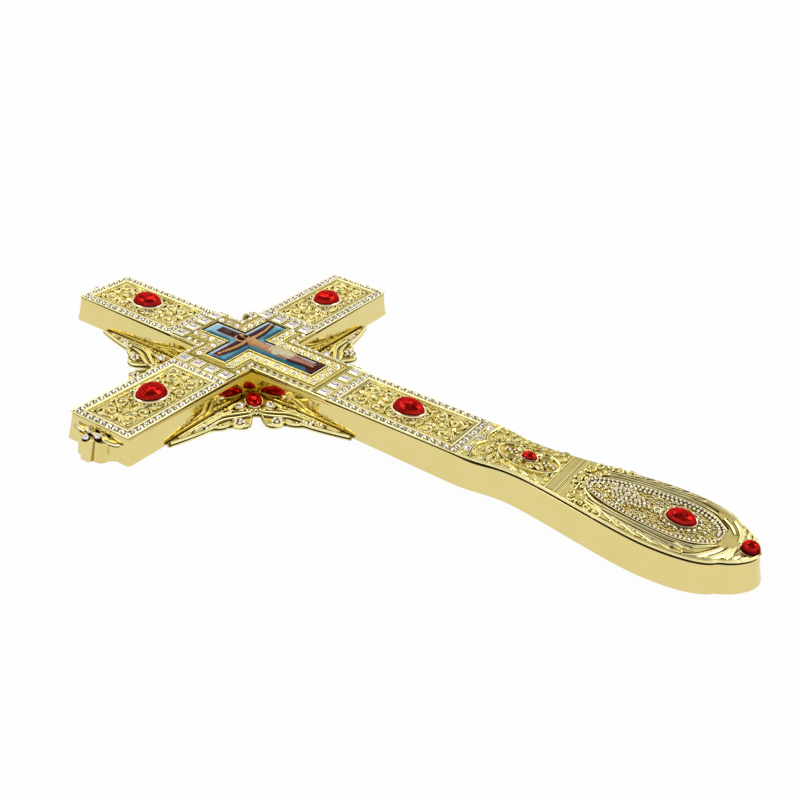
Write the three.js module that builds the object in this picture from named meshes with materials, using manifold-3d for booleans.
// A hand blessing cross that lies on its back, face up. A hollow gilt body carries a jewelled front plate
// with filigree panels in stepped windows, an enamelled crucifixion in a cross-shaped frame, and a broad
// leaf-shaped handle. Millimetres, +Z up. The origin is on the back face, under the middle of the crossing,
// and +Y runs to the head of the cross.
import * as THREE from "three";
import { mergeVertices } from "three/addons/utils/BufferGeometryUtils.js";
import Module from "manifold-3d";

// Body and front plate
const ARM_HALF = 15.2; // half the width of the arms and of the shaft
const SIDE_REACH = 89; // crossing centre to the end of a side arm
const HEAD_REACH = 87; // crossing centre to the end of the head
const SHAFT_REACH = 116; // crossing centre to where the handle begins
const BODY_HEIGHT = 12.6; // back face to the top of the front plate
const PLATE_THICK = 1.4;
const PLATE_LIP = 0.25; // how far the front plate stands out over the top of the wall
const WALL = 1; // sheet thickness of the body's wall
const WALL_FLARE = 1.5; // how far the foot of the wall stands out past the front plate
const HANDLE_FLARE = 3.1; // the same along the handle
const FLARE_START = 68; // crossing centre to where the shaft's wall begins to lean out more
const BACK_THICK = 1.2;
const SEAT_GAP = 0.3; // solder gap between a piece and the wall it is fixed to

// Handle outline: half widths, and how far below the shaft each one lies
const NECK_HALF = 12.6;
const NECK_DROP = 24;
const LOBE_HALF = 21.2;
const LOBE_DROP = 82;
const CREASE_HALF = 13.5;
const CREASE_DROP = 106.5;
const TIP_DROP = 117.2;
const OUTLINE_STEPS = 8; // straight steps in each curved stretch of the outline
const FLARE_STEPS = 5; // straight steps in which the shaft's wall comes to lean out more

// Small round stones of the borders
const BORDER_STONE = 2.4; // diameter
const BORDER_PITCH = 3.45;
const BORDER_INSET = 1.9; // plate edge to the middle of a border row
const CHANNEL_DEPTH = 0.6;
const CHANNEL_PLAY = 0.2; // channel wall to the stones, on each side
const STRIP_THICK = 0.3; // metal strip that the border stones are set on
const STONE_RISE = 0.9;

// Crossing: the icon field and the rows of stones that close it
const FIELD_HALF = 12.6;
const FIELD_REACH = 24; // to the sides and to the head
const FIELD_FOOT = 46.6; // down the shaft
const FIELD_THICK = 0.5;
const RAIL_WIDTH = 1.1;
const RAIL_RISE = 0.6;
const CROSSING_STONE = 2.2;
const CROSSING_PITCH = 3.9;
const CROSSING_INSET = 1.2;
const SQUARE_STONE = 4.7;
const SQUARE_PITCH = 7.5;
const SQUARE_COUNT = 4;
const SQUARE_SEAT = 0.5;
const SQUARE_RISE = 1.3;
const SQUARE_STEP = 3.9; // end of the icon field to the middle of the square stones
const ROW_STEP = 5.1; // middle of the square stones to the first border row of an arm

// Windows in the arms, and the filigree panels behind them
const WINDOW_INSET = 2.6; // middle of a border row to the first step of the window
const WINDOW_STEP = 0.7;
const WINDOW_STEPS = 2;
const PANEL_THICK = 0.9;
const PANEL_OVERLAP = 1.4; // how far a panel reaches under the plate
const SCROLL_WIRE = 1; // width of a filigree scroll
const SCROLL_RISE = 0.8;
const SCROLL_RADIUS = 3.4;
const SCROLLS = 2; // pairs of scrolls on each side of the red stone

// Red stones on the arms and their settings
const RED_LONG = 7;
const RED_WIDE = 6;
const RED_SEAT = 1.7; // height of the stone's seat over the filigree
const RED_GIRDLE = 0.6;
const RED_CROWN = 2.2;
const BEZEL_WALL = 0.8;
const BEZEL_PLAY = 0.15;
const BEZEL_LEDGE = 0.7; // width of the shelf that carries a stone
const BEZEL_GRIP = 0.7; // how far a setting rises past the stone's seat

// Enamelled crucifixion
const ENAMEL_HALF = 5.3;
const ENAMEL_REACH = 21.3;
const ENAMEL_FOOT = 39;
const ENAMEL_THICK = 1.1;
const ENAMEL_PLAY = 0.15;
const ENAMEL_RIM = 0.8;
const ENAMEL_RIM_OVER = 0.25; // how far the metal rim rises past the enamel
const FIELD_STONE = 2.5;
const FIELD_STONE_LINE = 9; // middle of the stones beside the enamel to the axis
const FIELD_STONE_PITCH = 4.8;
const WOOD_HALF = 2.3;
const WOOD_HEAD = 16;
const WOOD_FOOT = 38;
const BEAM_HALF = 1.5;
const BEAM_REACH = 19.2;
const BEAM_Y = 1;
const WOOD_THICK = 0.5;
const TITLE_HALF = 1.7;
const TITLE_HIGH = 4.6;
const TITLE_Y = 10.8;
const TITLE_THICK = 0.4;
const HALO_RADIUS = 3.3;
const HALO_Y = 2.4;
const HALO_THICK = 0.4;
const FIGURE_RISE = 2.2;

// Handle ornament
const BRACE_DROP = 5.4; // how far the point of the brace lies below the shaft
const BRACE_WIDTH = 1.3;
const BRACE_RISE = 0.9;
const SMALL_MEDAL_WIDE = 8;
const SMALL_MEDAL_LONG = 12.6;
const SMALL_MEDAL_DROP = 24;
const SMALL_CAB_WIDE = 2.9;
const SMALL_CAB_LONG = 3.7;
const MEDAL_THICK = 0.8;
const MEDAL_RIM = 2;
const MEDAL_RIM_RISE = 0.6;
const BAND_DROP = 40.7; // shaft end to the middle of the grooved band
const BAND_RIB = 0.8; // radius of each of its ribs
const BAND_RIBS = 3;
const MEDAL_HALF = 12.3;
const MEDAL_HEAD_DROP = 48.8;
const MEDAL_WAIST_DROP = 86;
const MEDAL_FOOT_DROP = 103.8;
const LARGE_CAB_WIDE = 5.1;
const LARGE_CAB_LONG = 6.1;
const LARGE_CAB_DROP = 87;
const PAVE_DROP = 67;
const PAVE_STONE = 1.9;
const PAVE_PITCH = 2.1;
const PAVE_ROWS = 5;
const PAVE_SEAT = 0.4;
const TIP_CAB = 4.2;
const TIP_CAB_DROP = 112.5;
const CAB_SEAT = 0.5;
const CAB_RISE = 2.4;
const FLANK_RIBS = 3;
const FLANK_RIB_WIDTH = 1.3;
const FLANK_RIB_RISE = 0.7;
const FLANK_HEAD_DROP = 47;
const FLANK_FOOT_DROP = 97;
const HANDLE_RIM = 1.3;

// Corner ornaments between the arms
const ORNAMENT_THICK = 1.8;
const ORNAMENT_TIER = 1.2; // rise of the inner tier
const ORNAMENT_LENGTH = 52.5; // along the wall, from the inner corner to a tip
const ORNAMENT_TIP = 1.1; // width of a tip
const ORNAMENT_WING = 6; // width of a wing where its stones lie
const ORNAMENT_CURL = 15.8; // how far the scroll ends stand off the wall
const ORNAMENT_LEDGE = 3.7; // how much wider the ornament is between a wing and its scroll end
const ORNAMENT_NOTCH = 12.5; // depth left at the notch on the diagonal
const ORNAMENT_NOTCH_HALF = 1.5; // half the notch's width, along each wall
const ORNAMENT_EDGE = 1.3; // width of the lower tier around the inner one
const ORNAMENT_RETREAT = 5; // how many edge widths the inner tier's tips stay back
const CORNER_CAB_LONG = 4.8;
const CORNER_CAB_WIDE = 3;
const CORNER_CAB_OFF = 6.2; // inner corner of the ornament to the stone's middle, along each wall
const CORNER_CAB_RISE = 1.8;
const CORNER_STONE_LONG = 2.2;
const CORNER_STONE_WIDE = 1.7;
const CORNER_STONE_ALONG = 13.2;
const CORNER_STONE_OFF = 4.3;

// Crests on the arm ends
const CREST_REACH = 6.8; // how far the middle rib stands off the wall at its foot
const CREST_TAPER = 0.8; // share of that reach at its top
const CREST_RIB = 2.6; // half width of the middle rib
const CREST_SHOULDER = 7.4; // half width over the side ribs
const CREST_SPREAD = 11.5; // half width of the coves at the wall
const CREST_HEIGHT = 8.3;
const BOW_HALF = 12.4;
const BOW_DEPTH = 1.3;
const BOW_RISE = 2.6;
const CREST_STONE = 3.2;

// Heights that follow from the sizes
const WALL_TOP = BODY_HEIGHT - PLATE_THICK;
const PANEL_TOP = WALL_TOP;
const FIELD_TOP = BODY_HEIGHT + FIELD_THICK;
const ENAMEL_TOP = FIELD_TOP + ENAMEL_THICK;
const WOOD_TOP = ENAMEL_TOP + WOOD_THICK;
const MEDAL_TOP = BODY_HEIGHT + MEDAL_THICK;
const TIER_TOP = ORNAMENT_THICK + ORNAMENT_TIER;
const CHANNEL_FLOOR = BODY_HEIGHT - CHANNEL_DEPTH;
const ROUND = 16; // facets round a set stone and round its setting
const CUT = 2; // how far a cutting shape reaches past what it cuts
const SINK = 0.2; // how deep joined pieces of one casting run into each other

// The arms, each drawn along +X and turned into place
const ARMS = [
  { name: "right", turn: 0, reach: SIDE_REACH, field: FIELD_REACH, crest: true },
  { name: "head", turn: Math.PI / 2, reach: HEAD_REACH, field: FIELD_REACH, crest: true },
  { name: "left", turn: Math.PI, reach: SIDE_REACH, field: FIELD_REACH, crest: true },
  { name: "shaft", turn: -Math.PI / 2, reach: SHAFT_REACH, field: FIELD_FOOT, crest: false },
];

const wasm = await Module();
wasm.setup();

// Materials

function metal(color, roughness) {
  return new THREE.MeshStandardMaterial({ color, roughness, metalness: 1 });
}

function glassy(color, roughness) {
  return new THREE.MeshStandardMaterial({ color, roughness, metalness: 0 });
}

const finish = {
  gold: () => metal(0xd9c682, 0.22),
  castGold: () => metal(0xcdb25e, 0.34),
  redGlass: () => glassy(0xb01018, 0.05),
  clearGlass: () => glassy(0xf0ecf2, 0.05),
  skyEnamel: () => glassy(0x5f9fc4, 0.2),
  woodEnamel: () => glassy(0x5a2426, 0.3),
  paleEnamel: () => glassy(0xd8b48a, 0.35),
  creamEnamel: () => glassy(0xe6d6a4, 0.3),
};

// Solids: a closed geometry becomes one that can be joined and cut, and comes back as a mesh

function solid(geometry) {
  const bare = geometry.index ? geometry.toNonIndexed() : geometry.clone();
  bare.deleteAttribute("normal");
  bare.deleteAttribute("uv");
  const merged = mergeVertices(bare, 1e-4);
  const vertProperties = merged.attributes.position.array;
  const triVerts = new Uint32Array(merged.index.array);
  return new wasm.Manifold(new wasm.Mesh({ numProp: 3, vertProperties, triVerts }));
}

function joined(parts) {
  return parts.reduce((whole, part) => whole.add(part));
}

function pieceMesh(name, made, material) {
  const data = made.getMesh();
  const geometry = new THREE.BufferGeometry();
  geometry.setAttribute("position", new THREE.BufferAttribute(data.vertProperties, 3));
  geometry.setIndex(new THREE.BufferAttribute(data.triVerts, 1));
  const flat = geometry.toNonIndexed();
  flat.computeVertexNormals();
  const mesh = new THREE.Mesh(flat, material);
  mesh.name = name;
  return mesh;
}

// Shapes seen from above, and what is raised from them

function slab(shape, bottom, top, curveSegments = OUTLINE_STEPS) {
  const geometry = new THREE.ExtrudeGeometry(shape, {
    depth: top - bottom,
    bevelEnabled: false,
    curveSegments,
  });
  return solid(geometry.translate(0, 0, bottom));
}

function rectangle(x0, x1, half) {
  const corners = [
    [x0, -half],
    [x1, -half],
    [x1, half],
    [x0, half],
  ];
  return corners.map(([x, y]) => new THREE.Vector2(x, y));
}

function turned(points, angle) {
  return points.map((p) => p.clone().rotateAround(new THREE.Vector2(), angle));
}

// A band between two closed outlines.
function band(outer, inner, bottom, top) {
  const shape = new THREE.Shape(outer);
  shape.holes.push(new THREE.Path(inner));
  return slab(shape, bottom, top);
}

// An outline pushed out by the distance that each point asks for. Outlines run anticlockwise.
function offsetEach(points, distanceAt) {
  return points.map((point, i) => {
    const before = points[(i + points.length - 1) % points.length];
    const after = points[(i + 1) % points.length];
    const first = point.clone().sub(before).normalize();
    const second = after.clone().sub(point).normalize();
    const out = new THREE.Vector2(first.y + second.y, -first.x - second.x);
    return point.clone().addScaledVector(out, distanceAt(point) / (1 + first.dot(second)));
  });
}

function offset(points, distance) {
  return offsetEach(points, () => distance);
}

// The solid between a lower outline and an upper one that has as many points.
function loft(lower, bottom, upper, top) {
  const count = lower.length;
  const ring = (points, z) => points.flatMap((p) => [p.x, p.y, z]);
  const faces = [];
  for (let i = 0; i < count; i += 1) {
    const next = (i + 1) % count;
    faces.push(i, next, count + next, i, count + next, count + i);
  }
  for (const [a, b, c] of THREE.ShapeUtils.triangulateShape(lower, [])) faces.push(c, b, a);
  for (const [a, b, c] of THREE.ShapeUtils.triangulateShape(upper, [])) {
    faces.push(count + a, count + b, count + c);
  }
  const geometry = new THREE.BufferGeometry();
  const position = new Float32Array([...ring(lower, bottom), ...ring(upper, top)]);
  geometry.setAttribute("position", new THREE.BufferAttribute(position, 3));
  geometry.setIndex(faces);
  return solid(geometry);
}

// A profile of [radius, height] turned about the z axis and drawn out into an oval.
function ovalTurning(profile, long, segments = ROUND) {
  const points = profile.map(([radius, height]) => new THREE.Vector2(radius, height));
  const geometry = new THREE.LatheGeometry(points, segments);
  return geometry.rotateX(Math.PI / 2).scale(long, 1, 1);
}

function placed(geometry, x, y, turn = 0) {
  return solid(geometry.clone().rotateZ(turn).translate(x, y, 0));
}

// Outline of the cross and its handle

function bodyOutline() {
  const y = (drop) => -SHAFT_REACH - drop;
  const curves = [
    [[0, y(TIP_DROP)], [5, y(TIP_DROP)], [12, y(CREASE_DROP + 4.5)], [CREASE_HALF, y(CREASE_DROP)]],
    [[CREASE_HALF, y(CREASE_DROP)], [18.5, y(CREASE_DROP - 2.5)], [LOBE_HALF, y(LOBE_DROP + 12)],
      [LOBE_HALF, y(LOBE_DROP)]],
    [[LOBE_HALF, y(LOBE_DROP)], [LOBE_HALF, y(LOBE_DROP - 14)], [NECK_HALF, y(NECK_DROP + 12)],
      [NECK_HALF, y(NECK_DROP)]],
    [[NECK_HALF, y(NECK_DROP)], [NECK_HALF, y(NECK_DROP - 10)], [ARM_HALF, y(10)], [ARM_HALF, y(2)]],
  ];
  const side = new THREE.CurvePath();
  for (const corners of curves) {
    side.add(new THREE.CubicBezierCurve(...corners.map(([px, py]) => new THREE.Vector2(px, py))));
  }
  const handle = side.getPoints(OUTLINE_STEPS);
  const shaft = Array.from({ length: FLARE_STEPS }, (_, i) => [
    ARM_HALF,
    THREE.MathUtils.lerp(-SHAFT_REACH, -FLARE_START, (i + 1) / FLARE_STEPS),
  ]);
  const arms = [
    ...shaft,
    [ARM_HALF, -ARM_HALF],
    [SIDE_REACH, -ARM_HALF],
    [SIDE_REACH, ARM_HALF],
    [ARM_HALF, ARM_HALF],
    [ARM_HALF, HEAD_REACH],
  ].map(([px, py]) => new THREE.Vector2(px, py));
  const right = [...handle, ...arms];
  const left = right.slice(1).reverse();
  return [...right, ...left.map((p) => new THREE.Vector2(-p.x, p.y))];
}

const outline = bodyOutline();

// How far the foot of the wall stands out beside a point of the outline.
function footFlare(point) {
  const share = THREE.MathUtils.mapLinear(-point.y, FLARE_START, SHAFT_REACH, 0, 1);
  return THREE.MathUtils.lerp(WALL_FLARE, HANDLE_FLARE, THREE.MathUtils.clamp(share, 0, 1));
}

// The wall's outer line at a height, drawn in by an inset. It leans in until it is under the plate's lip.
function wallLine(z, inset = 0) {
  const share = z / WALL_TOP;
  return offsetEach(outline, (point) => THREE.MathUtils.lerp(footFlare(point), -PLATE_LIP, share) - inset);
}

// Half the handle's width at a distance below the shaft.
function handleHalf(drop) {
  const y = -SHAFT_REACH - drop;
  const side = outline.filter((p) => p.x >= 0);
  const above = side.findIndex((p) => p.y >= y);
  const low = side[above - 1];
  const high = side[above];
  return THREE.MathUtils.mapLinear(y, low.y, high.y, low.x, high.x);
}

// Stones

// A small round stone as a six-sided point, its flat face at the given height.
function chip(x, y, bottom, diameter, rise = STONE_RISE, sides = 6) {
  const geometry = new THREE.ConeGeometry(diameter / 2, rise, sides);
  return placed(geometry.rotateX(Math.PI / 2).translate(0, 0, bottom + rise / 2), x, y);
}

// Places along a straight row, as near to the pitch as whole stones allow.
function rowPlaces(from, to, pitch) {
  const count = Math.max(1, Math.round(from.distanceTo(to) / pitch));
  return Array.from({ length: count + 1 }, (_, i) => from.clone().lerp(to, i / count));
}

// Places round a closed outline, one at every corner.
function loopPlaces(points, pitch) {
  return points.flatMap((p, i) => rowPlaces(p, points[(i + 1) % points.length], pitch).slice(0, -1));
}

function facetedStone(long, wide, bottom, girdle, crown) {
  const table = 0.6;
  const profile = [
    [0, bottom],
    [wide, bottom],
    [wide, bottom + girdle],
    [wide * 0.86, bottom + girdle + (crown - girdle) * 0.55],
    [wide * table, bottom + crown],
    [0, bottom + crown],
  ];
  return ovalTurning(profile, long / wide);
}

function domedStone(long, wide, bottom, rise, steps = 4) {
  const profile = [[0, bottom]];
  for (let i = 0; i <= steps; i += 1) {
    const angle = (i / steps) * (Math.PI / 2);
    profile.push([i === steps ? 0 : wide * Math.cos(angle), bottom + rise * Math.sin(angle)]);
  }
  return ovalTurning(profile, long / wide);
}

// The collar that a stone drops into, with a shelf under it.
function setting(long, wide, bottom, seat) {
  const top = bottom + seat + BEZEL_GRIP;
  const bore = wide + BEZEL_PLAY;
  const profile = [
    [wide - BEZEL_LEDGE, bottom],
    [bore + BEZEL_WALL, bottom],
    [bore + BEZEL_WALL * 0.7, top],
    [bore, top],
    [bore, bottom + seat],
    [wide - BEZEL_LEDGE, bottom + seat],
    [wide - BEZEL_LEDGE, bottom],
  ];
  return ovalTurning(profile, long / wide);
}

// Body

function casing() {
  const outer = loft(wallLine(0), 0, wallLine(WALL_TOP), WALL_TOP);
  const bore = loft(wallLine(-CUT, WALL), -CUT, wallLine(WALL_TOP + CUT, WALL), WALL_TOP + CUT);
  return pieceMesh("casing", outer.subtract(bore), finish.gold());
}

function backPlate() {
  const inset = WALL + SEAT_GAP;
  const plate = loft(wallLine(0, inset), 0, wallLine(BACK_THICK, inset), BACK_THICK);
  return pieceMesh("back_plate", plate, finish.gold());
}

// Where the rows and the window of an arm lie along it, and how wide they are.
function armPlan(arm) {
  const squares = arm.field + SQUARE_STEP;
  const firstRow = squares + ROW_STEP;
  const lastRow = arm.reach - BORDER_INSET;
  const rowHalf = ARM_HALF - BORDER_INSET;
  return { ...arm, squares, firstRow, lastRow, rowHalf, middle: (firstRow + lastRow) / 2 };
}

// The closed line of an arm's border stones, grown or shrunk.
function borderLine(plan, grow = 0) {
  const points = rectangle(plan.firstRow - grow, plan.lastRow + grow, plan.rowHalf + grow);
  return turned(points, plan.turn);
}

// The outline of an arm's window at one of its steps.
function windowLine(plan, step) {
  return borderLine(plan, -WINDOW_INSET - step * WINDOW_STEP);
}

// Rows of stones at the four inner corners of the crossing, as bent lines of three points each.
function crossingRows() {
  const line = ARM_HALF - CROSSING_INSET;
  const start = CROSSING_STONE;
  const ends = { up: FIELD_REACH - start, down: -(FIELD_FOOT - start), side: FIELD_REACH - start };
  return [1, -1].flatMap((sx) =>
    [1, -1].map((sy) => [
      new THREE.Vector2(sx * ends.side, sy * line),
      new THREE.Vector2(sx * line, sy * line),
      new THREE.Vector2(sx * line, sy > 0 ? ends.up : ends.down),
    ]),
  );
}

// A raised line of one width along a few points in plan.
function ribbon(points, width, bottom, top) {
  const sides = [width / 2, -width / 2].map((shift) =>
    points.map((point, i) => {
      const ahead = points[Math.min(i + 1, points.length - 1)];
      const along = ahead.clone().sub(points[Math.max(i - 1, 0)]).normalize();
      return new THREE.Vector2(point.x + along.y * shift, point.y - along.x * shift);
    }),
  );
  return slab(new THREE.Shape([...sides[0], ...sides[1].reverse()]), bottom, top);
}

// Ribs that flow down both flanks of the handle, between its rim and the large medallion.
function flankRibs() {
  const steps = 6;
  const ribs = [];
  for (const side of [1, -1]) {
    for (let rib = 1; rib <= FLANK_RIBS; rib += 1) {
      const points = Array.from({ length: steps + 1 }, (_, i) => {
        const drop = THREE.MathUtils.lerp(FLANK_HEAD_DROP, FLANK_FOOT_DROP, i / steps);
        const inner = medallionHalf(drop) + HANDLE_RIM;
        const outer = handleHalf(drop) - HANDLE_RIM;
        const x = THREE.MathUtils.lerp(inner, outer, rib / (FLANK_RIBS + 1));
        return new THREE.Vector2(side * x, -SHAFT_REACH - drop);
      });
      ribs.push(ribbon(points, FLANK_RIB_WIDTH, BODY_HEIGHT - SINK, BODY_HEIGHT + FLANK_RIB_RISE));
    }
  }
  return ribs;
}

function frontPlate(plans) {
  let plate = slab(new THREE.Shape(outline), WALL_TOP, BODY_HEIGHT);
  const play = BORDER_STONE / 2 + CHANNEL_PLAY;
  for (const plan of plans) {
    const channel = band(borderLine(plan, play), borderLine(plan, -play), CHANNEL_FLOOR, BODY_HEIGHT + CUT);
    plate = plate.subtract(channel);
    for (let step = 0; step <= WINDOW_STEPS; step += 1) {
      const depth = step < WINDOW_STEPS ? ((step + 1) * PLATE_THICK) / (WINDOW_STEPS + 1) : PLATE_THICK + CUT;
      const well = new THREE.Shape(windowLine(plan, step));
      plate = plate.subtract(slab(well, BODY_HEIGHT - depth, BODY_HEIGHT + CUT));
    }
  }
  const stones = crossingRows().flatMap(([a, corner, b]) => {
    const places = [
      ...rowPlaces(a, corner, CROSSING_PITCH),
      ...rowPlaces(corner, b, CROSSING_PITCH).slice(1),
    ];
    return places.map((p) => chip(p.x, p.y, BODY_HEIGHT - SINK, CROSSING_STONE));
  });
  return pieceMesh("front_plate", joined([plate, ...stones, ...flankRibs()]), finish.gold());
}

// Arms: filigree, border stones, red stones and rows of square stones

// A C-shaped scroll, open towards its start angle.
function scroll(x, y, radius, start, bottom) {
  const steps = 6;
  const sweep = Math.PI * 1.45;
  const points = Array.from({ length: steps + 1 }, (_, i) => {
    const angle = start + (sweep * i) / steps;
    return new THREE.Vector2(x + radius * Math.cos(angle), y + radius * Math.sin(angle));
  });
  return ribbon(points, SCROLL_WIRE, bottom, PANEL_TOP + SCROLL_RISE);
}

function filigreePanel(plan) {
  const opening = windowLine({ ...plan, turn: 0 }, WINDOW_STEPS);
  const sheet = new THREE.Shape(offset(opening, PANEL_OVERLAP));
  const parts = [slab(sheet, PANEL_TOP - PANEL_THICK, PANEL_TOP)];
  const last = opening[1].x - plan.middle - SCROLL_RADIUS - SCROLL_WIRE;
  const first = RED_LONG + BEZEL_WALL + BEZEL_PLAY + SCROLL_RADIUS + SCROLL_WIRE;
  for (const along of [1, -1]) {
    for (const across of [1, -1]) {
      for (let i = 0; i < SCROLLS; i += 1) {
        const x = plan.middle + along * THREE.MathUtils.lerp(first, last, i / (SCROLLS - 1));
        const y = across * (opening[2].y - SCROLL_RADIUS - SCROLL_WIRE);
        const start = across * along > 0 ? Math.PI * 0.1 : Math.PI * 0.45;
        parts.push(scroll(x, y, SCROLL_RADIUS, start + (along < 0 ? Math.PI : 0), PANEL_TOP - SINK));
      }
    }
  }
  const panel = joined(parts).rotate([0, 0, (plan.turn * 180) / Math.PI]);
  return pieceMesh(`filigree_${plan.name}`, panel, finish.castGold());
}

function borderStones(plan) {
  const half = BORDER_STONE / 2;
  const stripTop = CHANNEL_FLOOR + STRIP_THICK;
  const strip = band(borderLine(plan, half), borderLine(plan, -half), CHANNEL_FLOOR, stripTop);
  const places = loopPlaces(borderLine(plan), BORDER_PITCH);
  const stones = places.map((p) => chip(p.x, p.y, stripTop - SINK, BORDER_STONE, STONE_RISE + SINK));
  return pieceMesh(`border_stones_${plan.name}`, joined([strip, ...stones]), finish.clearGlass());
}

function redStone(plan) {
  const seat = PANEL_TOP + SCROLL_RISE + RED_SEAT;
  const at = new THREE.Vector2(plan.middle, 0).rotateAround(new THREE.Vector2(), plan.turn);
  const stone = facetedStone(RED_LONG, RED_WIDE, seat, RED_GIRDLE, RED_CROWN);
  const collar = setting(RED_LONG, RED_WIDE, PANEL_TOP, SCROLL_RISE + RED_SEAT);
  return [
    pieceMesh(`red_stone_${plan.name}`, placed(stone, at.x, at.y, plan.turn), finish.redGlass()),
    pieceMesh(`bezel_${plan.name}`, placed(collar, at.x, at.y, plan.turn), finish.gold()),
  ];
}

function squareStones(plan) {
  const seatTop = BODY_HEIGHT + SQUARE_SEAT;
  const rowHalf = ((SQUARE_COUNT - 1) * SQUARE_PITCH + SQUARE_STONE) / 2;
  const seatHalf = SQUARE_STONE / 2 + SEAT_GAP;
  const seat = turned(rectangle(plan.squares - seatHalf, plan.squares + seatHalf, rowHalf), plan.turn);
  const stones = Array.from({ length: SQUARE_COUNT }, (_, i) => {
    const across = (i - (SQUARE_COUNT - 1) / 2) * SQUARE_PITCH;
    const at = new THREE.Vector2(plan.squares, across).rotateAround(new THREE.Vector2(), plan.turn);
    const corner = SQUARE_STONE * Math.SQRT1_2;
    const rise = SQUARE_RISE + SINK;
    const frustum = new THREE.CylinderGeometry(corner * 0.55, corner, rise, 4);
    frustum.rotateX(Math.PI / 2).rotateZ(Math.PI / 4).translate(0, 0, seatTop - SINK + rise / 2);
    return placed(frustum, at.x, at.y);
  });
  const row = joined([slab(new THREE.Shape(seat), BODY_HEIGHT, seatTop), ...stones]);
  return pieceMesh(`square_stones_${plan.name}`, row, finish.clearGlass());
}

// Crossing: icon frame and enamelled crucifixion

// A cross in plan from its half width and its reach to the sides and head, and down to its foot.
function crossLine(half, reach, foot) {
  const right = [
    [half, -foot],
    [half, -half],
    [reach, -half],
    [reach, half],
    [half, half],
    [half, reach],
  ];
  const left = right.map(([x, y]) => [-x, y]).reverse();
  return [...right, ...left].map(([x, y]) => new THREE.Vector2(x, y));
}

function iconFrame() {
  const edge = crossLine(FIELD_HALF, FIELD_REACH, FIELD_FOOT);
  const bed = crossLine(ENAMEL_HALF, ENAMEL_REACH, ENAMEL_FOOT);
  const field = slab(new THREE.Shape(edge), BODY_HEIGHT, FIELD_TOP);
  const rail = band(edge, offset(edge, -RAIL_WIDTH), FIELD_TOP - SINK, FIELD_TOP + RAIL_RISE);
  const bore = offset(bed, ENAMEL_PLAY);
  const rim = band(offset(bore, ENAMEL_RIM), bore, FIELD_TOP - SINK, ENAMEL_TOP + ENAMEL_RIM_OVER);
  const beside = FIELD_STONE_LINE;
  const reach = FIELD_REACH - RAIL_WIDTH - FIELD_STONE / 2;
  const foot = FIELD_FOOT - RAIL_WIDTH - FIELD_STONE;
  const places = [];
  for (const side of [1, -1]) {
    const upper = [
      new THREE.Vector2(side * reach, beside),
      new THREE.Vector2(side * beside, beside),
      new THREE.Vector2(side * beside, reach),
    ];
    const lower = [
      new THREE.Vector2(side * reach, -beside),
      new THREE.Vector2(side * beside, -beside),
      new THREE.Vector2(side * beside, -foot),
    ];
    for (const [a, corner, b] of [upper, lower]) {
      places.push(...rowPlaces(a, corner, FIELD_STONE_PITCH));
      places.push(...rowPlaces(corner, b, FIELD_STONE_PITCH).slice(1));
    }
  }
  const footRow = [-beside, beside].map((x) => new THREE.Vector2(x, -foot));
  places.push(...rowPlaces(...footRow, FIELD_STONE_PITCH).slice(1, -1));
  const stones = places.map((p) => chip(p.x, p.y, FIELD_TOP - SINK, FIELD_STONE, STONE_RISE + SINK));
  return pieceMesh("icon_frame", joined([field, rail, rim, ...stones]), finish.castGold());
}

function enamelGround() {
  const bed = new THREE.Shape(crossLine(ENAMEL_HALF, ENAMEL_REACH, ENAMEL_FOOT));
  return pieceMesh("enamel_ground", slab(bed, FIELD_TOP, ENAMEL_TOP), finish.skyEnamel());
}

function box(x0, x1, y0, y1, z0, z1) {
  const geometry = new THREE.BoxGeometry(x1 - x0, y1 - y0, z1 - z0);
  return solid(geometry.translate((x0 + x1) / 2, (y0 + y1) / 2, (z0 + z1) / 2));
}

function woodCross() {
  const upright = box(-WOOD_HALF, WOOD_HALF, -WOOD_FOOT, WOOD_HEAD, ENAMEL_TOP, WOOD_TOP);
  const beam = box(-BEAM_REACH, BEAM_REACH, BEAM_Y - BEAM_HALF, BEAM_Y + BEAM_HALF, ENAMEL_TOP, WOOD_TOP);
  return pieceMesh("wood_cross", upright.add(beam), finish.woodEnamel());
}

function titleBoard() {
  const low = TITLE_Y - TITLE_HIGH / 2;
  const board = box(-TITLE_HALF, TITLE_HALF, low, low + TITLE_HIGH, WOOD_TOP, WOOD_TOP + TITLE_THICK);
  return pieceMesh("title_board", board, finish.paleEnamel());
}

function haloDisc(radius, bottom, top) {
  const disc = new THREE.CylinderGeometry(radius, radius, top - bottom, ROUND);
  return placed(disc.rotateX(Math.PI / 2).translate(0, 0, (bottom + top) / 2), 0, HALO_Y);
}

function halo() {
  return pieceMesh("halo", haloDisc(HALO_RADIUS, WOOD_TOP, WOOD_TOP + HALO_THICK), finish.creamEnamel());
}

// A rounded limb of the figure between two points in plan, thicker at its start.
function limb(x0, y0, x1, y1, startRadius, endRadius) {
  const from = new THREE.Vector3(x0, y0, WOOD_TOP + startRadius * 0.4);
  const to = new THREE.Vector3(x1, y1, WOOD_TOP + endRadius * 0.4);
  const length = from.distanceTo(to);
  const shaft = new THREE.CylinderGeometry(endRadius, startRadius, length, 6);
  const turn = new THREE.Quaternion().setFromUnitVectors(
    new THREE.Vector3(0, 1, 0),
    to.clone().sub(from).normalize(),
  );
  const middle = from.clone().lerp(to, 0.5);
  shaft.applyQuaternion(turn).translate(middle.x, middle.y, middle.z);
  const end = new THREE.SphereGeometry(endRadius, 6, 4).translate(to.x, to.y, to.z);
  return solid(shaft).add(solid(end));
}

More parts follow.
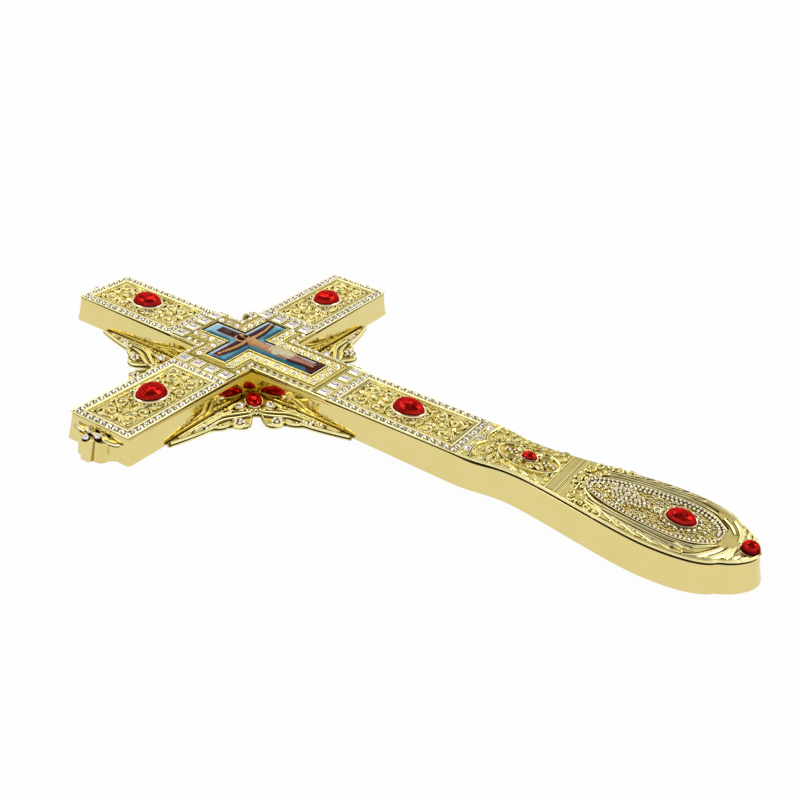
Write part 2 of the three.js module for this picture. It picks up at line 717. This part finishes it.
function figure() {
  const shoulders = BEAM_Y - 1.4;
  const hips = -12.5;
  const knees = -24;
  const feet = -WOOD_FOOT + 2.6;
  const torso = new THREE.SphereGeometry(1, 10, 6).scale(2.6, 7, FIGURE_RISE);
  torso.translate(0, (shoulders + hips) / 2, WOOD_TOP);
  const cloth = new THREE.SphereGeometry(1, 10, 6).scale(2.8, 5.2, FIGURE_RISE);
  cloth.translate(0, hips - 3.2, WOOD_TOP);
  const head = new THREE.SphereGeometry(1, 10, 8).scale(1.5, 2, 1.6);
  head.rotateZ(0.2).translate(-0.5, HALO_Y, WOOD_TOP + 1.4);
  const parts = [
    solid(torso),
    solid(cloth),
    solid(head),
    limb(0, shoulders, -0.4, HALO_Y - 0.6, 1.1, 0.9),
  ];
  for (const side of [1, -1]) {
    parts.push(limb(side * 1.6, shoulders - 0.6, side * (BEAM_REACH - 1.2), BEAM_Y, 1.1, 0.6));
    parts.push(limb(side * 1.2, hips - 5, side * 1.1, knees, 1.4, 1.1));
    parts.push(limb(side * 1.1, knees, side * 0.5, feet, 1.1, 0.7));
  }
  const whole = joined(parts);
  const under = box(-BEAM_REACH - CUT, BEAM_REACH + CUT, -WOOD_FOOT - CUT, WOOD_HEAD, WOOD_TOP - 9, WOOD_TOP);
  const disc = haloDisc(HALO_RADIUS + SEAT_GAP, WOOD_TOP - CUT, WOOD_TOP + HALO_THICK + SEAT_GAP / 2);
  return pieceMesh("figure", whole.subtract(under).subtract(disc), finish.paleEnamel());
}

// Handle ornament

function dropY(drop) {
  return -SHAFT_REACH - drop;
}

function ovalLine(wide, long, y) {
  const steps = 28;
  return Array.from({ length: steps }, (_, i) => {
    const angle = (2 * Math.PI * i) / steps;
    return new THREE.Vector2(wide * Math.cos(angle), y + long * Math.sin(angle));
  });
}

// The large medallion is an egg with its point towards the shaft.
function eggLine() {
  const waist = dropY(MEDAL_WAIST_DROP);
  const top = dropY(MEDAL_HEAD_DROP);
  const low = MEDAL_FOOT_DROP - MEDAL_WAIST_DROP;
  const steps = 10;
  const right = [];
  for (let i = 0; i <= steps; i += 1) {
    const angle = ((i - steps) / steps) * (Math.PI / 2);
    right.push(new THREE.Vector2(MEDAL_HALF * Math.cos(angle), waist + low * Math.sin(angle)));
  }
  const upper = new THREE.CubicBezierCurve(
    new THREE.Vector2(MEDAL_HALF, waist),
    new THREE.Vector2(MEDAL_HALF, waist + low * 0.67),
    new THREE.Vector2(MEDAL_HALF * 0.7, top),
    new THREE.Vector2(0, top),
  );
  right.push(...upper.getPoints(steps).slice(1));
  const inner = right.slice(1, -1).reverse();
  return [...right, ...inner.map((p) => new THREE.Vector2(-p.x, p.y))];
}

function medallionHalf(drop) {
  const y = dropY(drop);
  const side = eggLine().filter((p) => p.x >= 0 && p.y <= dropY(MEDAL_HEAD_DROP));
  const above = side.findIndex((p) => p.y >= y);
  if (above < 1) return 0;
  return THREE.MathUtils.mapLinear(y, side[above - 1].y, side[above].y, side[above - 1].x, side[above].x);
}

function medallion(name, line) {
  const bed = slab(new THREE.Shape(line), BODY_HEIGHT, MEDAL_TOP);
  const rim = band(line, offset(line, -MEDAL_RIM), MEDAL_TOP - SINK, MEDAL_TOP + MEDAL_RIM_RISE);
  return pieceMesh(name, bed.add(rim), finish.castGold());
}

// A domed red stone in its setting, long along the handle.
function cabochon(name, long, wide, drop, bottom) {
  const y = dropY(drop);
  const stone = domedStone(long, wide, bottom + CAB_SEAT, CAB_RISE);
  const collar = setting(long, wide, bottom, CAB_SEAT);
  return [
    pieceMesh(`${name}_cabochon`, placed(stone, 0, y, Math.PI / 2), finish.redGlass()),
    pieceMesh(`${name}_cabochon_bezel`, placed(collar, 0, y, Math.PI / 2), finish.gold()),
  ];
}

// The brace-shaped line that closes the shaft, its point towards the handle.
function brace() {
  const half = ARM_HALF - BRACE_WIDTH;
  const start = dropY(1.6);
  const point = dropY(BRACE_DROP);
  const right = new THREE.CubicBezierCurve(
    new THREE.Vector2(0, point),
    new THREE.Vector2(0, start),
    new THREE.Vector2(half, point),
    new THREE.Vector2(half, start),
  ).getPoints(10);
  const left = right.slice(1).map((p) => new THREE.Vector2(-p.x, p.y));
  const line = [...left.reverse(), ...right];
  const moulding = ribbon(line, BRACE_WIDTH, BODY_HEIGHT, BODY_HEIGHT + BRACE_RISE);
  return pieceMesh("brace_moulding", moulding, finish.gold());
}

// Half-round ribs side by side, cut to the handle's outline.
function groovedBand() {
  const middle = dropY(BAND_DROP);
  const half = handleHalf(BAND_DROP);
  const ribs = Array.from({ length: BAND_RIBS }, (_, i) => {
    const y = middle + (i - (BAND_RIBS - 1) / 2) * BAND_RIB * 1.8;
    const rod = new THREE.CylinderGeometry(BAND_RIB, BAND_RIB, 2 * half, 10);
    return solid(rod.rotateZ(Math.PI / 2).translate(0, y, BODY_HEIGHT));
  });
  const inside = slab(new THREE.Shape(offset(outline, -PLATE_LIP)), BODY_HEIGHT, BODY_HEIGHT + CUT);
  return pieceMesh("grooved_band", joined(ribs).intersect(inside), finish.gold());
}

// Small stones packed in rows that narrow downwards, on one thin plate.
function paveCluster() {
  const seatTop = MEDAL_TOP + PAVE_SEAT;
  const places = [];
  for (let row = 0; row < PAVE_ROWS; row += 1) {
    const count = 2 + Math.min(row, PAVE_ROWS - 1 - row) * 2;
    for (let i = 0; i < count; i += 1) {
      const x = (i - (count - 1) / 2) * PAVE_PITCH;
      places.push(new THREE.Vector2(x, dropY(PAVE_DROP) - (row - (PAVE_ROWS - 1) / 2) * PAVE_PITCH));
    }
  }
  const stones = places.map((p) => chip(p.x, p.y, seatTop - SINK, PAVE_STONE, STONE_RISE + SINK));
  const reach = (PAVE_ROWS * PAVE_PITCH) / 2;
  const line = ovalLine(reach * 1.2, reach * 1.1, dropY(PAVE_DROP));
  const seat = slab(new THREE.Shape(line), MEDAL_TOP, seatTop);
  return pieceMesh("pave_cluster", joined([seat, ...stones]), finish.clearGlass());
}

// Corner ornaments, drawn in the quarter between the right arm and the head

// Its outline, symmetric about the diagonal: two wings along the walls, two scroll ends and a notch.
// An inset draws the smaller outline of the inner tier.
function ornamentLine(inset = 0) {
  const wall = ARM_HALF + WALL_FLARE + SEAT_GAP;
  const length = ORNAMENT_LENGTH - inset * ORNAMENT_RETREAT;
  const at = (share, off) => new THREE.Vector2(wall + share * length, wall + off);
  const tip = at(1, inset + ORNAMENT_TIP);
  const wing = ORNAMENT_WING - inset;
  const ledge = wing + ORNAMENT_LEDGE;
  const curl = ORNAMENT_CURL - inset;
  const wingEnd = at(0.62, wing);
  const curlFoot = at(0.49, ledge);
  const curlTop = at(0.4, curl);
  const notch = wall + ORNAMENT_NOTCH - inset;
  const notchSide = new THREE.Vector2(notch + ORNAMENT_NOTCH_HALF, notch - ORNAMENT_NOTCH_HALF);
  const curlSide = new THREE.Vector2(notchSide.x + 3.5, curl - 1.3);
  const half = new THREE.CurvePath();
  half.add(new THREE.QuadraticBezierCurve(tip, at(0.78, wing * 0.8), wingEnd));
  half.add(new THREE.QuadraticBezierCurve(wingEnd, at(0.57, ledge), curlFoot));
  half.add(new THREE.QuadraticBezierCurve(curlFoot, at(0.475, curl), curlTop));
  half.add(new THREE.QuadraticBezierCurve(curlTop, curlSide, notchSide));
  const flip = (p) => new THREE.Vector2(p.y, p.x);
  const right = [at(1, inset), ...half.getPoints(4)];
  return [at(0, 0).addScalar(inset), ...right, ...[...right].reverse().map(flip)];
}

function cornerPieces(name, sx, sy) {
  const line = ornamentLine();
  const corner = line[0].x;
  const stoneAt = corner + CORNER_CAB_OFF;
  const lower = slab(new THREE.Shape(line), 0, ORNAMENT_THICK);
  const inside = slab(new THREE.Shape(line), 0, TIER_TOP);
  const upper = slab(new THREE.Shape(ornamentLine(ORNAMENT_EDGE)), ORNAMENT_THICK - SINK, TIER_TOP);
  const casting = lower.add(upper.intersect(inside));
  const small = domedStone(CORNER_STONE_LONG, CORNER_STONE_WIDE, TIER_TOP, CORNER_CAB_RISE * 0.7, 2);
  const alongWall = corner + CORNER_STONE_ALONG;
  const offWall = corner + CORNER_STONE_OFF;
  const large = domedStone(CORNER_CAB_LONG, CORNER_CAB_WIDE, TIER_TOP, CORNER_CAB_RISE);
  const flip = (made) => (sx * sy > 0 ? made : made.mirror([sx < 0 ? 1 : 0, sy < 0 ? 1 : 0, 0]));
  const place = (made) => (sx < 0 && sy < 0 ? made.rotate([0, 0, 180]) : flip(made));
  const red = placed(large, stoneAt, stoneAt, Math.PI / 4);
  const beside = placed(small, alongWall, offWall);
  const above = placed(small, offWall, alongWall, Math.PI / 2);
  return [
    pieceMesh(`corner_ornament_${name}`, place(casting), finish.castGold()),
    pieceMesh(`corner_cabochon_${name}`, place(red), finish.redGlass()),
    pieceMesh(`corner_stone_${name}_a`, place(beside), finish.clearGlass()),
    pieceMesh(`corner_stone_${name}_b`, place(above), finish.clearGlass()),
  ];
}

// Crests on the arm ends, drawn on an end that faces +X with the wall at x = 0

// Three upright ribs side by side, with coves out to the wall.
function crestLine(reach) {
  const line = new THREE.Shape();
  const root = -WALL_FLARE;
  line.moveTo(root, -CREST_SPREAD);
  line.quadraticCurveTo(reach * 0.1, -CREST_SHOULDER * 1.2, reach * 0.3, -CREST_SHOULDER);
  line.quadraticCurveTo(reach * 0.75, -CREST_SHOULDER * 0.95, reach * 0.62, -CREST_RIB);
  line.quadraticCurveTo(reach * 1.12, -CREST_RIB, reach, 0);
  line.quadraticCurveTo(reach * 1.12, CREST_RIB, reach * 0.62, CREST_RIB);
  line.quadraticCurveTo(reach * 0.75, CREST_SHOULDER * 0.95, reach * 0.3, CREST_SHOULDER);
  line.quadraticCurveTo(reach * 0.1, CREST_SHOULDER * 1.2, root, CREST_SPREAD);
  return line.getPoints(5);
}

// A bow of two leaves and two thin tails, seen from the arm's end.
function bow() {
  const low = CREST_HEIGHT - SINK;
  const line = new THREE.Shape();
  const tail = CREST_HEIGHT + BOW_RISE * 0.25;
  line.moveTo(0, low);
  line.lineTo(CREST_SHOULDER * 0.5, low);
  line.quadraticCurveTo(BOW_HALF * 0.7, low, BOW_HALF, tail);
  line.quadraticCurveTo(BOW_HALF * 0.7, tail + 1, CREST_SHOULDER * 0.85, tail + 1);
  line.quadraticCurveTo(CREST_SHOULDER * 0.8, low + BOW_RISE, CREST_SHOULDER * 0.55, low + BOW_RISE);
  line.quadraticCurveTo(CREST_SHOULDER * 0.2, low + BOW_RISE, 0, low + BOW_RISE * 0.7);
  const right = line.getPoints(4);
  const left = right.slice(1, -1).reverse().map((p) => new THREE.Vector2(-p.x, p.y));
  const shape = new THREE.Shape([...right, ...left]);
  const geometry = new THREE.ExtrudeGeometry(shape, { depth: BOW_DEPTH + WALL_FLARE, bevelEnabled: false });
  return solid(geometry.rotateX(Math.PI / 2).rotateZ(Math.PI / 2).translate(-WALL_FLARE, 0, 0));
}

function endCrest(plan, wall) {
  const foot = crestLine(CREST_REACH + WALL_FLARE);
  const head = crestLine((CREST_REACH + WALL_FLARE) * CREST_TAPER);
  const boss = loft(foot, 0, head, CREST_HEIGHT);
  const front = (CREST_REACH + WALL_FLARE) * CREST_TAPER - CREST_STONE / 4;
  const stones = [
    chip(front, 0, CREST_HEIGHT - SINK, CREST_STONE, STONE_RISE * 2, 8),
    chip(front * 0.55, CREST_RIB * 1.25, CREST_HEIGHT - SINK, CREST_STONE * 0.85, STONE_RISE * 1.8, 8),
    chip(front * 0.55, -CREST_RIB * 1.25, CREST_HEIGHT - SINK, CREST_STONE * 0.85, STONE_RISE * 1.8, 8),
  ];
  const drawn = joined([boss, bow(), ...stones]).translate([plan.reach, 0, 0]);
  const crest = drawn.rotate([0, 0, (plan.turn * 180) / Math.PI]).subtract(wall);
  return pieceMesh(`end_crest_${plan.name}`, crest, finish.castGold());
}

// Assembly

const plans = ARMS.map(armPlan);
const clearTop = BODY_HEIGHT + CUT;
const wall = loft(wallLine(-CUT, -SEAT_GAP), -CUT, wallLine(clearTop, -SEAT_GAP), clearTop);

const cross = new THREE.Group();
cross.name = "blessing_cross";
cross.add(casing(), backPlate(), frontPlate(plans));
for (const plan of plans) {
  cross.add(filigreePanel(plan), borderStones(plan), squareStones(plan), ...redStone(plan));
  if (plan.crest) cross.add(endCrest(plan, wall));
}
cross.add(iconFrame(), enamelGround(), woodCross(), titleBoard(), halo(), figure());
cross.add(brace(), groovedBand(), paveCluster());
const smallLine = ovalLine(SMALL_MEDAL_WIDE, SMALL_MEDAL_LONG, dropY(SMALL_MEDAL_DROP));
cross.add(medallion("small_medallion", smallLine), medallion("large_medallion", eggLine()));
cross.add(...cabochon("small", SMALL_CAB_LONG, SMALL_CAB_WIDE, SMALL_MEDAL_DROP, MEDAL_TOP));
cross.add(...cabochon("large", LARGE_CAB_LONG, LARGE_CAB_WIDE, LARGE_CAB_DROP, MEDAL_TOP));
cross.add(...cabochon("tip", TIP_CAB, TIP_CAB, TIP_CAB_DROP, BODY_HEIGHT));
for (const [name, sx, sy] of [
  ["head_right", 1, 1],
  ["head_left", -1, 1],
  ["shaft_left", -1, -1],
  ["shaft_right", 1, -1],
]) {
  cross.add(...cornerPieces(name, sx, sy));
}

export default cross;
